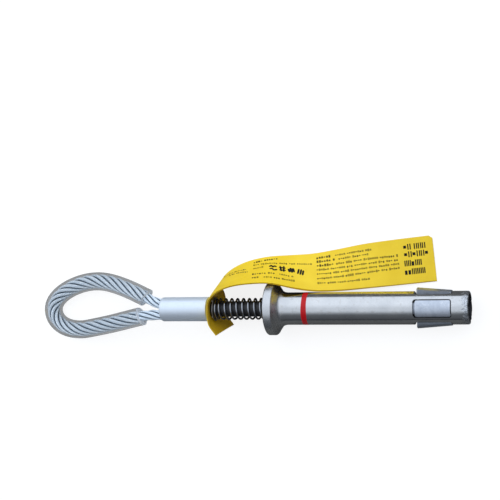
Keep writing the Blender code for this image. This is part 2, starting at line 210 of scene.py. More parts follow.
def turned_steel():
    """Turned stainless: fine rings, scuffs, a little stain, a battered mouth, and a rougher bore painted
    near black as shade.
    """
    mat, tree, shader = new_look("sleeve_steel", Metallic=1.0)
    split = node(tree, "ShaderNodeSeparateXYZ", Vector=anchor_coords(tree))
    along = split.outputs["X"]
    radius = math_node(tree, "SQRT", math_node(
        tree, "ADD", math_node(tree, "POWER", split.outputs["Y"], 2.0),
        math_node(tree, "POWER", split.outputs["Z"], 2.0)))
    bore_mask_painted_shade = ramp(tree, math_node(tree, "DIVIDE", radius, 10.0), (0.80, 1.0), (0.84, 0.0))
    rings = noise(tree, anchor_coords(tree, scale=(7.0, 0.05, 0.05)), 1.0, 4.0, 0.7)
    broad = noise(tree, anchor_coords(tree), 0.11, 3.0)
    fine = noise(tree, anchor_coords(tree), 2.2, 4.0, 0.65)
    chips = noise(tree, anchor_coords(tree, scale=(0.6, 1.0, 1.0)), 0.75, 3.0, 0.6)
    worn = math_node(tree, "ADD", math_node(tree, "MULTIPLY", chips, 3.4),
                     math_node(tree, "MULTIPLY", math_node(tree, "SUBTRACT", along, 113.6), 0.42))
    worn = ramp(tree, math_node(tree, "SUBTRACT", worn, 1.55), (0.0, 0.0), (0.35, 1.0))
    tint = ramp(tree, broad, (0.3, (0.575, 0.58, 0.58)), (0.7, (0.655, 0.655, 0.645)))
    stain = ramp(tree, noise(tree, anchor_coords(tree), 0.35, 5.0, 0.7),
                 (0.56, 0.0), (0.72, 1.0))
    tint = mix(tree, math_node(tree, "MULTIPLY", stain, 0.4), tint, (0.36, 0.33, 0.28))
    marks = math_node(tree, "MAXIMUM", scratches(tree, 8), scratches(tree, -63, 1.3, 0.008))
    tint = mix(tree, math_node(tree, "MULTIPLY", marks, 0.5), tint, (0.78, 0.78, 0.78))
    chip_tone = ramp(tree, fine, (0.42, (0.12, 0.13, 0.15)), (0.52, (0.70, 0.72, 0.75)))
    tint = mix(tree, math_node(tree, "MULTIPLY", worn, 0.8), tint, chip_tone)
    # Painted shade: every bore surface is painted near black, standing in for the shade inside the tube.
    tint = mix(tree, bore_mask_painted_shade, tint, (0.06, 0.06, 0.065))
    tree.links.new(tint, shader.inputs["Base Color"])
    rough = math_node(tree, "ADD", math_node(tree, "MULTIPLY", rings, 0.09),
                      math_node(tree, "MULTIPLY", fine, 0.09))
    flared = ramp(tree, math_node(tree, "DIVIDE", radius, 20.0), (0.475, 0.0), (0.50, 1.0))
    for layer, share in ((stain, 0.10), (marks, 0.12), (worn, 0.22), (bore_mask_painted_shade, 0.3), (flared, 0.16)):
        rough = math_node(tree, "ADD", rough, math_node(tree, "MULTIPLY", layer, share))
    tree.links.new(math_node(tree, "ADD", rough, 0.03), shader.inputs["Roughness"])
    normal = bump(tree, rings, 0.3, 0.01)
    normal = bump(tree, fine, 0.12, 0.02, normal)
    normal = bump(tree, worn, 0.7, -0.12, normal)
    tree.links.new(bump(tree, marks, 0.5, -0.02, normal), shader.inputs["Normal"])
    return mat


def blasted_steel():
    """Wedge pads: matt, pitted, with bright rubbed scratches and painted shade on their flanks."""
    mat, tree, shader = new_look("wedge_steel", Metallic=1.0)
    grain = noise(tree, anchor_coords(tree), 5.0, 4.0, 0.7)
    broad = noise(tree, anchor_coords(tree), 0.28, 4.0, 0.6)
    tint = ramp(tree, broad, (0.3, (0.47, 0.51, 0.57)), (0.7, (0.63, 0.67, 0.73)))
    marks = math_node(tree, "MAXIMUM", scratches(tree, 52, 1.0, 0.02, (0.5, 2.5, 2.5)),
                      scratches(tree, -38, 1.4, 0.014, (0.4, 2.8, 2.8)))
    tint = mix(tree, math_node(tree, "MULTIPLY", marks, 0.75), tint, (0.86, 0.86, 0.86))
    split = node(tree, "ShaderNodeSeparateXYZ", Vector=anchor_coords(tree))
    out = math_node(tree, "MINIMUM", math_node(tree, "ABSOLUTE", split.outputs["Y"]),
                    math_node(tree, "ABSOLUTE", split.outputs["Z"]))
    # Painted shade: faces out to the side of each pad, where it sits in its window, are darkened to 30
    # percent.
    flank_painted_shade = ramp(tree, math_node(tree, "DIVIDE", out, 5.0), (0.90, 1.0), (0.94, 0.30))
    tint = mix(tree, 1.0, tint, flank_painted_shade, "MULTIPLY")
    tree.links.new(tint, shader.inputs["Base Color"])
    rough = math_node(tree, "SUBTRACT", math_node(tree, "MULTIPLY", grain, 0.2),
                      math_node(tree, "MULTIPLY", marks, 0.15))
    tree.links.new(math_node(tree, "ADD", rough, 0.33), shader.inputs["Roughness"])
    normal = bump(tree, grain, 0.5, 0.05)
    tree.links.new(bump(tree, marks, 0.6, -0.03, normal), shader.inputs["Normal"])
    return mat


def metal(name, color, roughness, ring_scale=(4.0, 0.1, 0.1), relief=0.02, dirt=0.25, **values):
    """Plain machined or pressed metal with grain and a little dirt."""
    mat, tree, shader = new_look(name, **{"Metallic": 1.0, **values})
    grain = noise(tree, anchor_coords(tree, scale=ring_scale), 1.0, 4.0, 0.65)
    broad = noise(tree, anchor_coords(tree), 0.3, 4.0, 0.6)
    dark = tuple(c * 0.6 for c in color)
    tint = mix(tree, math_node(tree, "MULTIPLY", ramp(tree, broad, (0.5, 0.0), (0.75, 1.0)),
                               dirt), color, dark)
    tree.links.new(tint, shader.inputs["Base Color"])
    tree.links.new(math_node(tree, "ADD", math_node(tree, "MULTIPLY", grain, 0.15),
                             roughness - 0.07), shader.inputs["Roughness"])
    tree.links.new(bump(tree, grain, 0.4, relief), shader.inputs["Normal"])
    return mat


def plastic(name, color, roughness, grain_scale=3.0, relief=0.02, vary=0.25, **values):
    """Paint, rubber or plastic with slight mottling."""
    mat, tree, shader = new_look(name, **values)
    grain = noise(tree, anchor_coords(tree), grain_scale, 4.0, 0.6)
    broad = noise(tree, anchor_coords(tree), 0.25, 3.0)
    tint = mix(tree, math_node(tree, "MULTIPLY", broad, vary), color,
               tuple(c * 0.55 for c in color))
    tree.links.new(tint, shader.inputs["Base Color"])
    tree.links.new(math_node(tree, "ADD", math_node(tree, "MULTIPLY", grain, 0.15),
                             roughness - 0.07), shader.inputs["Roughness"])
    tree.links.new(bump(tree, grain, 0.3, relief), shader.inputs["Normal"])
    return mat


def clear_pvc():
    """Clear cover: refracting, faintly blue-grey, with soft handling marks."""
    mat, tree, shader = new_look("clear_pvc", Base_Color=(0.93, 0.95, 0.97, 1),
                                 Transmission_Weight=1.0, IOR=1.24)
    haze = noise(tree, anchor_coords(tree), 0.5, 4.0, 0.6)
    tree.links.new(ramp(tree, haze, (0.35, 0.0), (0.75, 0.03)), shader.inputs["Roughness"])
    tree.links.new(bump(tree, haze, 0.12, 0.05), shader.inputs["Normal"])
    return mat


def rope_wire():
    """Bright wire, with painted shade down in the grooves between strands."""
    mat, tree, shader = new_look("rope_steel", Metallic=0.5)
    reach = node(tree, "ShaderNodeAttribute", attrs={"attribute_name": "reach"}).outputs["Fac"]
    grain = noise(tree, anchor_coords(tree), 1.1, 4.0, 0.65)
    tint = ramp(tree, grain, (0.3, (0.74, 0.84, 0.93)), (0.7, (0.88, 0.95, 1.0)))
    # Painted shade: points deep towards the rope's middle are darkened, standing in for shade in the
    # grooves.
    groove_painted_shade = ramp(tree, reach, (0.75, 1.0), (0.80, 0.55), (0.88, 0.0))
    tree.links.new(mix(tree, groove_painted_shade, tint, (0.09, 0.15, 0.21)), shader.inputs["Base Color"])
    tree.links.new(math_node(tree, "ADD", math_node(tree, "MULTIPLY", grain, 0.2), 0.14),
                   shader.inputs["Roughness"])
    tree.links.new(bump(tree, grain, 0.3, 0.01), shader.inputs["Normal"])
    return mat


def vinyl(name, low, high, dirt_color):
    """Printed strip: satin, slightly wavy and handled."""
    mat, tree, shader = new_look(name, IOR=1.45)
    broad = noise(tree, anchor_coords(tree), 0.09, 3.0)
    fine = noise(tree, anchor_coords(tree), 1.6, 5.0, 0.7)
    dirt = ramp(tree, fine, (0.60, 0.0), (0.78, 1.0))
    tint = mix(tree, math_node(tree, "MULTIPLY", dirt, 0.18),
               ramp(tree, broad, (0.3, low), (0.7, high)), dirt_color)
    tree.links.new(tint, shader.inputs["Base Color"])
    tree.links.new(math_node(tree, "ADD", math_node(tree, "MULTIPLY", fine, 0.18), 0.28),
                   shader.inputs["Roughness"])
    normal = bump(tree, broad, 0.5, 0.6)
    tree.links.new(bump(tree, fine, 0.2, 0.03, normal), shader.inputs["Normal"])
    return mat


LOOKS = {
    "sleeve_steel": turned_steel(),
    "wedge_steel": blasted_steel(),
    "mandrel_steel": metal("mandrel_steel", (0.14, 0.14, 0.145), 0.42),
    "washer_steel": metal("washer_steel", (0.40, 0.40, 0.40), 0.4),
    "ferrule_alloy": metal("ferrule_alloy", (0.76, 0.83, 0.90), 0.40, (0.12, 3.0, 3.0), 0.012,
                           0.12, Metallic=0.5),
    "rope_steel": rope_wire(),
    "clear_pvc": clear_pvc(),
    "clear_pvc_cut": plastic("clear_pvc_cut", (0.95, 0.97, 0.99), 0.4, 2.0, 0.05, 0.1,
                             Transmission_Weight=0.2),
    "spring_steel": metal("spring_steel", (0.34, 0.35, 0.37), 0.17, (1.5, 1.5, 1.5), 0.01, 0.5),
    "liner_plastic": plastic("liner_plastic", (0.012, 0.012, 0.013), 0.5),
    "red_paint": plastic("red_paint", (0.56, 0.005, 0.008), 0.32, 1.5, 0.05, 0.4,
                         Specular_IOR_Level=0.28),
    "yellow_vinyl": vinyl("yellow_vinyl", (0.88, 0.59, 0.007), (0.94, 0.655, 0.015), (0.50, 0.32, 0.02)),
    # Painted shade: the back strip's vinyl is a darker, more orange copy of the yellow, standing in for
    # shade on the label's underside.
    "yellow_vinyl_painted_shade": vinyl("yellow_vinyl_painted_shade", (0.62, 0.36, 0.006), (0.68, 0.42, 0.01), (0.34, 0.19, 0.01)),
    "black_ink": plastic("black_ink", (0.008, 0.008, 0.006), 0.6, 2.0, 0.0, 0.2,
                         Specular_IOR_Level=0.2),
}


# ---------------------------------------------------------------- mesh helpers
def build(name, verts, faces, look=None):
    """A mesh object from points in the anchor's frame, in millimetres."""
    mesh = bpy.data.meshes.new(name)
    mesh.from_pydata([ANCHOR @ Vector(v) for v in verts], [], faces)
    work = bmesh.new()
    work.from_mesh(mesh)
    bmesh.ops.recalc_face_normals(work, faces=work.faces)
    work.to_mesh(mesh)
    work.free()
    obj = bpy.data.objects.new(name, mesh)
    bpy.context.scene.collection.objects.link(obj)
    if look:
        mesh.materials.append(LOOKS[look])
    return obj


def apply_modifiers(obj):
    """Bakes an object's modifiers into its mesh."""
    graph = bpy.context.evaluated_depsgraph_get()
    mesh = bpy.data.meshes.new_from_object(obj.evaluated_get(graph))
    obj.modifiers.clear()
    obj.data = mesh


def cut(obj, cutters):
    """Cuts closed shapes out of obj, then drops them."""
    for cutter in cutters:
        boolean = obj.modifiers.new("cut", "BOOLEAN")
        boolean.operation = "DIFFERENCE"
        boolean.solver = "EXACT"
        boolean.object = cutter
    apply_modifiers(obj)
    for cutter in cutters:
        bpy.data.objects.remove(cutter, do_unlink=True)


def bevel(obj, width, angle, segments):
    """Rounds the edges sharper than angle, in degrees."""
    soften = obj.modifiers.new("bevel", "BEVEL")
    soften.width = width * MM
    soften.segments = segments
    soften.limit_method = "ANGLE"
    soften.angle_limit = math.radians(angle)
    soften.use_clamp_overlap = True
    apply_modifiers(obj)


def shade(obj, angle):
    """Smooth shading, with edges sharper than angle left sharp."""
    for polygon in obj.data.polygons:
        polygon.use_smooth = True
    obj.data.set_sharp_from_angle(angle=math.radians(angle))


def finish_piece(obj, body, slot, *nodes, angle=32):
    """Shades a piece, puts it on its body, and hides the CAD nodes it replaces."""
    shade(obj, angle)
    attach(obj, body)
    if nodes:
        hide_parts(*nodes)
    return obj


def ring_faces(rings, sides, closed=False):
    """Faces that join rings of points; the last ring meets the first if closed, else caps."""
    faces = []
    for i in range(rings if closed else rings - 1):
        j = (i + 1) % rings
        for k in range(sides):
            m = (k + 1) % sides
            faces.append((i * sides + k, i * sides + m, j * sides + m, j * sides + k))
    if not closed:
        faces.append(tuple(range(sides))[::-1])
        faces.append(tuple((rings - 1) * sides + k for k in range(sides)))
    return faces


def turned(name, profile, look=None, bored=True, sides=160, dent=None):
    """A lathe shape from (a, r) points; dent(a, angle) is taken off the radius."""
    verts = []
    for a, r in profile:
        for k in range(sides):
            t = 2 * math.pi * (k + 0.5) / sides
            d = dent(a, t) if dent else 0.0
            verts.append((a - 0.8 * d, (r - d) * math.cos(t), (r - d) * math.sin(t)))
    return build(name, verts, ring_faces(len(profile), sides, closed=bored), look)


def arc(a, r, radius, start, end, steps=6):
    """Points (a, r) on a quarter-round edge, by angle in degrees."""
    return [(a + radius * math.cos(math.radians(start + (end - start) * i / steps)),
             r + radius * math.sin(math.radians(start + (end - start) * i / steps)))
            for i in range(steps + 1)]


def spline(points, steps):
    """A smooth curve through the points."""
    points = [Vector(p) for p in points]
    ends = [2 * points[0] - points[1]] + points + [2 * points[-1] - points[-2]]
    curve = []
    for i in range(1, len(ends) - 2):
        p0, p1, p2, p3 = ends[i - 1:i + 3]
        for k in range(steps):
            t = k / steps
            curve.append(0.5 * (2 * p1 + (p2 - p0) * t + (2 * p0 - 5 * p1 + 4 * p2 - p3) * t ** 2
                                + (3 * p1 - p0 - 3 * p2 + p3) * t ** 3))
    return curve + [points[-1]]


def evenly(path, step):
    """The same path with points an even distance apart."""
    lengths = [0.0]
    for p, q in zip(path, path[1:]):
        lengths.append(lengths[-1] + (q - p).length)
    count = max(2, round(lengths[-1] / step))
    out, i = [], 0
    for k in range(count + 1):
        want = lengths[-1] * k / count
        while i < len(path) - 2 and lengths[i + 1] < want:
            i += 1
        part = (want - lengths[i]) / max(1e-9, lengths[i + 1] - lengths[i])
        out.append(path[i].lerp(path[i + 1], min(1.0, part)))
    return out


def smooth_path(path, rounds):
    """Evens out small kinks where spans of a spline meet."""
    for _ in range(rounds):
        path = [path[0]] + [(p + 2 * q + r) / 4 for p, q, r in zip(path, path[1:], path[2:])] \
            + [path[-1]]
    return path


def frames(path):
    """(point, side, up, ahead) along a path, without twist."""
    out, side = [], None
    for i, point in enumerate(path):
        ahead = (path[min(i + 1, len(path) - 1)] - path[max(i - 1, 0)]).normalized()
        if side is None:
            side = ahead.orthogonal().normalized()
        side = (side - ahead * side.dot(ahead)).normalized()
        out.append((point, side, ahead.cross(side), ahead))
    return out


def swept(name, path, radius, sides, look=None, slant=0.0):
    """A round bar along a path; slant leans its end faces over, as a knife leaves them."""
    verts = []
    placed = frames(path)
    for i, (point, side, up, ahead) in enumerate(placed):
        last = 1.0 if i == len(placed) - 1 else (-1.0 if i == 0 else 0.0)
        for k in range(sides):
            t = 2 * math.pi * k / sides
            out = side * math.cos(t) + up * math.sin(t)
            push = ahead * (last * slant * abs(out.y) * (1 if out.y > 0 else -1)
                            * (1 if point.y > 0 else -1))
            verts.append(point + out * radius + push * radius)
    return build(name, verts, ring_faces(len(path), sides), look)


# ---------------------------------------------------------------- sleeve, band and wedges
def rounded_outline(a0, a1, half, corner, steps=8):
    """A rectangle's points (a, t) with round corners."""
    points = []
    for ca, ct, start in ((a1 - corner, half - corner, 0), (a0 + corner, half - corner, 90),
                          (a0 + corner, corner - half, 180), (a1 - corner, corner - half, 270)):
        for i in range(steps + 1):
            angle = math.radians(start + 90 * i / steps)
            points.append((ca + corner * math.cos(angle), ct + corner * math.sin(angle)))
    return points


def around(points, quarter):
    """Turns (a, t, n) points to one of four sides, n being the way out."""
    c, s = ((1, 0), (0, 1), (-1, 0), (0, -1))[quarter]
    return [(a, t * c + n * s, n * c - t * s) for a, t, n in points]


def make_sleeve():
    """Flange, neck and bored tube, worn at its mouth, with four windows cut through."""
    neck = []
    for i in range(15):
        t = i / 14
        neck.append(((1 - t) ** 2 * 7.4 + 2 * t * (1 - t) * 8.6 + t * t * 11.8,
                     (1 - t) ** 2 * 11.6 + 2 * t * (1 - t) * 9.5 + t * t * SLEEVE_R))
    profile = [(0.3, ENTRY_BORE_R), (0.0, ENTRY_BORE_R + 0.3)]
    profile += arc(0.9, FLANGE_R - 0.9, 0.9, 180, 90) + arc(RIM - 1.1, FLANGE_R - 1.1, 1.1, 90, 10)
    profile += neck
    profile += [(a, SLEEVE_R) for a in (21, 40, 60, 80, 95, 108, 112, 113, 113.8)]
    profile += arc(SLEEVE_END - 0.5, SLEEVE_R - 1.0, 1.0, 90, 0, 8)
    profile += [(SLEEVE_END + 0.5, TIP_BORE_R + 0.3), (SLEEVE_END + 0.2, TIP_BORE_R),
                (TIP_BORE_A, TIP_BORE_R), (TIP_BORE_A, MIDDLE_BORE_R),
                (MIDDLE_BORE_A, MIDDLE_BORE_R), (MIDDLE_BORE_A, ENTRY_BORE_R)]
    rng = random.Random(7)
    knocks = [(rng.uniform(0, 2 * math.pi), rng.uniform(0.08, 0.22), rng.uniform(0.08, 0.3))
              for _ in range(16)]

    def dent(a, t):
        """Small knocks in the mouth's edge, fading out within 4 mm."""
        if a < WORN_FROM:
            return 0.0
        depth = 0.0
        for middle, width, size in knocks:
            off = (t - middle + math.pi) % (2 * math.pi) - math.pi
            depth = max(depth, size * math.exp(-(off / width) ** 2))
        return depth * ((a - WORN_FROM) / (SLEEVE_END - WORN_FROM)) ** 1.5

    sleeve = turned("sleeve_turned", profile, "sleeve_steel", sides=180, dent=dent)
    outline = rounded_outline(WINDOW_A0, WINDOW_A1, WINDOW_W / 2, 1.5)
    cutters = []
    for quarter in range(4):
        points = [(a, t, 5.6) for a, t in outline] + [(a, t, 12.0) for a, t in outline]
        cutters.append(build("window", around(points, quarter), ring_faces(2, len(outline))))
    cut(sleeve, cutters)
    finish_piece(sleeve, "sleeve", "sleeve_steel", "anchor_sleeve", angle=30)


def make_band():
    """A painted band with brushed, slightly uneven edges."""
    rng = random.Random(4)
    sides, waves, verts = 180, 24, []
    wobble = [rng.uniform(-1, 1) for _ in range(waves)]
    rows = [(-0.20, 9.39), (-0.16, 9.425), (0.25, 9.445), (0.75, 9.445), (1.16, 9.425),
            (1.20, 9.39), (1.2, 9.2), (-0.2, 9.2)]
    for f, r in rows:
        for k in range(sides):
            t = 2 * math.pi * (k + 0.5) / sides
            spot = k / sides * waves
            i, part = int(spot) % waves, spot % 1
            wave = wobble[i] * (1 - part) + wobble[(i + 1) % waves] * part
            edge = BAND_A0 - 0.05 + (BAND_A1 - BAND_A0 + 0.1) * min(1, max(0, f))
            edge += wave * 0.08 * (1 if f > 0.5 else -1) + 0.28 * math.sin(t + 0.6)
            verts.append((edge, r * math.cos(t), r * math.sin(t)))
    band = build("depth_band_paint", verts, ring_faces(len(rows), sides, closed=True), "red_paint")
    finish_piece(band, "sleeve", "red_paint", "depth_band", angle=60)


def ramp_r(a):
    """Height of the mandrel's flat ramp at a."""
    return RAMP_R0 + (a - WEDGE_A0) * RAMP_TAN


def wedge_ring(a, half, foot, crown, crown_r, steps=20):
    """A wedge's section at a: a foot on the ramp, straight flanks and a round crown."""
    middle, base = crown - crown_r, ramp_r(a)
    knee = max(base + 0.25, half + 2.3)
    shoulder = max(middle + math.sqrt(crown_r ** 2 - half ** 2) - 0.05, knee + 0.1)
    ring = [(a, -foot, base), (a, -half, knee), (a, -half, shoulder)]
    for i in range(steps + 1):
        t = -half + 0.05 + (2 * half - 0.1) * i / steps
        ring.append((a, t, middle + math.sqrt(crown_r ** 2 - t * t)))
    return ring + [(a, half, shoulder), (a, half, knee), (a, foot, base)]


def make_wedges():
    """Four pads, each with a lip that keeps it in its window."""
    for quarter, side in enumerate(("top", "left", "bottom", "right")):
        rings = [wedge_ring(a, 3.3, 2.1, 7.5, 7.5) for a in (WEDGE_LIP_A, WEDGE_A0)]
        corner = 1.2
        edge = [0.0, 0.05, 0.15, 0.32, 0.6, 0.9, corner]
        middle = [WEDGE_A0 + corner + 2.9 * i for i in range(1, 6)]
        stations = [WEDGE_A0 + d for d in edge] + middle + [WEDGE_A1 - d for d in edge[::-1]]
        for a in stations:
            d = min(a - WEDGE_A0, WEDGE_A1 - a, corner)
            half = WEDGE_W / 2 - corner + math.sqrt(max(0, corner ** 2 - (corner - d) ** 2))
            f = (a - WEDGE_A0) / (WEDGE_A1 - WEDGE_A0)
            crown = REACH_A0 + (REACH_A1 - REACH_A0) * f
            fall = max(0.0, 0.35 - d)
            crown -= 0.35 - math.sqrt(0.35 ** 2 - fall ** 2)
            rings.append(wedge_ring(a, half, min(2.5 + 2.0 * f, half - 0.3), crown, 9.4))
        points = around([p for ring in rings for p in ring], quarter)
        wedge = build("wedge_%s_pad" % side, points, ring_faces(len(rings), len(rings[0])),
                      "wedge_steel")
        bevel(wedge, 0.22, angle=50, segments=3)
        finish_piece(wedge, "wedge_%s_body" % side, "wedge_steel", "wedge_" + side, angle=40)


def make_mandrel():
    """Socket for the rope's end, a thin neck, and a head with four ramps."""
    sides, uncut, neck = 144, 99, NECK_R - 0.2

    def ring(a, half, radius):
        points = []
        for k in range(sides):
            t = 2 * math.pi * (k + 0.5) / sides
            c, s = math.cos(t), math.sin(t)
            r = min(radius, half / max(abs(c), abs(s)))
            points.append((a, r * c, r * s))
        return points

    rings = [ring(a, uncut, r) for a, r in (
        (SOCKET_A0, 3.4), (SOCKET_A0, SOCKET_R - 0.4), (SOCKET_A0 + 0.4, SOCKET_R),
        (SOCKET_A1 - 1.2, SOCKET_R), (SOCKET_A1 + 0.8, neck), (RAMP_A0, neck))]
    rings += [ring(a, ramp_r(a) - 0.3, HEAD_R) for a in (RAMP_A0 + 0.02, 80, 89, 98, RAMP_A1)]
    rings += [ring(a, uncut, r) for a, r in (
        (RAMP_A1 + 0.05, HEAD_R), (HEAD_A1 - 0.6, HEAD_R), (HEAD_A1, HEAD_R - 0.6),
        (HEAD_A1, 2.6), (HEAD_A1 - 1.2, 0.1))]
    mandrel = build("mandrel_core", [p for r in rings for p in r], ring_faces(len(rings), sides),
                    "mandrel_steel")
    finish_piece(mandrel, "rope_assembly", "mandrel_steel", "expander_mandrel", angle=25)


# ---------------------------------------------------------------- rope, tube and ferrule
route = smooth_path(evenly(spline(ROPE_ROUTE, 24), 0.7), 30)


def strand_section(samples=3):
    """Angle and radius of points round a strand, one bump for each outer wire."""
    half = math.pi / STRAND_WIRES
    wire = STRAND_R * math.sin(half) / (1 + math.sin(half))
    centre = STRAND_R - wire
    points = []
    for i in range(STRAND_WIRES):
        for k in range(samples):
            f = -half + 2 * half * k / samples
            bore_mask_painted_shade = max(0.0, wire ** 2 - (centre * math.sin(f)) ** 2)
            points.append((2 * half * i + f, centre * math.cos(f) + math.sqrt(bore_mask_painted_shade)))
    return points


def make_rope():
    """Six outer strands laid right-handed round a core strand."""
    section = strand_section()
    placed = frames(route)
    verts, faces, reach = [], [], []
    step = (route[1] - route[0]).length
    for strand in range(STRANDS + 1):
        start = len(verts)
        centre_r = 0.0 if strand == STRANDS else ROPE_R - STRAND_R - 0.01
        for i, (point, side, up, ahead) in enumerate(placed):
            turn = 2 * math.pi * (strand / STRANDS + i * step / ROPE_LAY)
            wires = -2 * math.pi * i * step / WIRE_LAY
            middle = point + (side * math.cos(turn) + up * math.sin(turn)) * centre_r
            for angle, r in section:
                t = angle + wires + turn
                verts.append(middle + (side * math.cos(t) + up * math.sin(t)) * r)
                reach.append((verts[-1] - point).length / ROPE_R)
        faces += [tuple(start + v for v in face)
                  for face in ring_faces(len(placed), len(section))]
    mesh = bpy.data.meshes.new("wire_rope_strands")
    mesh.from_pydata([ANCHOR @ v for v in verts], [], faces)
    mesh.materials.append(LOOKS["rope_steel"])
    mesh.attributes.new("reach", "FLOAT", "POINT").data.foreach_set("value", reach)
    rope = bpy.data.objects.new("wire_rope_strands", mesh)
    bpy.context.scene.collection.objects.link(rope)
    finish_piece(rope, "rope_assembly", "rope_steel", "wire_rope", angle=80)
    return rope


def make_ferrule():
    """A pressed cylinder with a hole for each leg of the rope."""
    profile = [(FERRULE_A0, 0.05), (FERRULE_A0, 5.5)]
    profile += arc(FERRULE_A0 + 1.7, FERRULE_R - 1.7, 1.7, 180, 90, 10)
    profile += arc(FERRULE_A1 - 0.5, FERRULE_R - 0.5, 0.5, 90, 0) + [(FERRULE_A1, 0.05)]
    ferrule = turned("ferrule_pressed", profile, "ferrule_alloy", bored=False, sides=120)
    far = min(range(len(route)), key=lambda i: route[i].x)
    legs = [p for p in route[:far:4] if -75 < p.x < -30]
    back = [p for p in route[far::4] if p.x > -75] + [Vector((-59.4, -LEG, 0))]
    cut(ferrule, [swept("leg", legs, ROPE_R + 0.12, 32), swept("back", back, ROPE_R + 0.12, 32)])
    finish_piece(ferrule, "rope_assembly", "ferrule_alloy", "swage_ferrule", angle=35)


def make_tube():
    """Clear cover that grips the rope, with a frosted cut at each end."""
    far = min(range(len(route)), key=lambda i: route[i].x)
    first = min(i for i in range(far) if route[i].x < TUBE_FROM)
    last = max(i for i in range(far, len(route)) if route[i].x < TUBE_TO)
    tube = swept("clear_tube_cover", evenly(route[first:last + 1], 1.6), TUBE_R, 56, "clear_pvc",
                 slant=0.18)
    tube.visible_shadow = False
    tube.data.materials.append(LOOKS["clear_pvc_cut"])
    for face in tube.data.polygons[-2:]:
        face.material_index = 1
    finish_piece(tube, "rope_assembly", "clear_pvc", "clear_tube", angle=40)


def make_liner_and_washer():
    """The black sleeve on the rope, and the spring's seat against the labels."""
    liner = turned("liner_sleeve", [(-36.7, 3.4), (-36.7, 4.4), (-36.5, 4.6), (36.8, 4.6),
                                    (37.0, 4.4), (37.0, 3.4)], "liner_plastic", sides=64)
    finish_piece(liner, "rope_assembly", "liner_plastic", "rope_liner")
    washer = turned("washer_plate", [(-33.3, 5.0), (-33.3, 6.85), (-33.15, 7.0), (-32.85, 7.0),
                                     (-32.7, 6.85), (-32.7, 5.0)], "washer_steel", sides=96)
    finish_piece(washer, "rope_assembly", "washer_steel", "spring_washer")


def make_spring():
    """Open coils with one closed coil at each end."""
    turns, closed, steps = 9.5, 0.7, 56
    low, high = SPRING_A0 + SPRING_WIRE, SPRING_A1 - SPRING_WIRE
    tight = 2 * SPRING_WIRE + 0.05
    open_pitch = (high - low - 2 * closed * tight) / (turns - 2 * closed)
    coil, a = [], low
    count = int(turns * steps)
    for i in range(count + 1):
        turn = i / steps
        coil.append(Vector((a, 0, 0)))
        ends = min(turn, turns - turn)
        ease = min(1.0, max(0.0, (ends - closed + 0.2) / 0.4))
        a += (tight + (open_pitch - tight) * ease) / steps
    shrink = (high - low) / (coil[-1].x - low)
    coil = [Vector((low + (p.x - low) * shrink, 0, 0)) for p in coil]
    crest = min(range(len(coil)), key=lambda i: abs(coil[i].x + 8.3)) / steps
    for i, p in enumerate(coil):
        turn = 2 * math.pi * (i / steps - crest)
        p.y, p.z = SPRING_R * math.cos(turn), SPRING_R * math.sin(turn)
    spring = swept("spring_coil", coil, SPRING_WIRE, 14, "spring_steel")
    finish_piece(spring, "rope_assembly", "spring_steel", "return_spring", angle=60)
    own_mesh(spring)


# ---------------------------------------------------------------- labels
STEPS, COLUMNS = 10, 26


def label_grid():
    """Points across the strip's middle surface, cupped where it bends round the rope."""
    edge_1, edge_2 = spline(LABEL_EDGE_1, STEPS), spline(LABEL_EDGE_2, STEPS)
    cups = [p.x for p in spline([(c, 0, 0) for c in LABEL_CUP], STEPS)]
    grid = []
    for p, q, cup in zip(edge_1, edge_2, cups):
        grid.append([p.lerp(q, k / COLUMNS) - Vector((4 * k / COLUMNS * (1 - k / COLUMNS) * cup, 0, 0))
                     for k in range(COLUMNS + 1)])
    return grid


grid = label_grid()
middle_line = [row[COLUMNS // 2] for row in grid]
run = [0.0]
for p, q in zip(middle_line, middle_line[1:]):
    run.append(run[-1] + (q - p).length)
LABEL_LENGTH = run[-1]


def grid_normal(i, k):
    """The way out of the printed side at a grid point."""
    along = grid[min(i + 1, len(grid) - 1)][k] - grid[max(i - 1, 0)][k]
    across = grid[i][min(k + 1, COLUMNS)] - grid[i][max(k - 1, 0)]
    return along.cross(across).normalized()


def on_label(s, t, lift):
    """A point on the printed side: s mm from the tail end, t across from edge 1 to edge 2."""
    i = 0
    while i < len(run) - 2 and run[i + 1] < s:
        i += 1
    f = (s - run[i]) / (run[i + 1] - run[i])
    x = min(COLUMNS - 1e-6, max(0.0, t * COLUMNS))
    k, g = int(x), x - int(x)
    low = grid[i][k].lerp(grid[i + 1][k], f)
    high = grid[i][k + 1].lerp(grid[i + 1][k + 1], f)
    normal = grid_normal(i, k).lerp(grid_normal(i + 1, min(k + 1, COLUMNS)), 0.5).normalized()
    return low.lerp(high, g) + normal * (LABEL_MID + LABEL_T / 2 + lift)


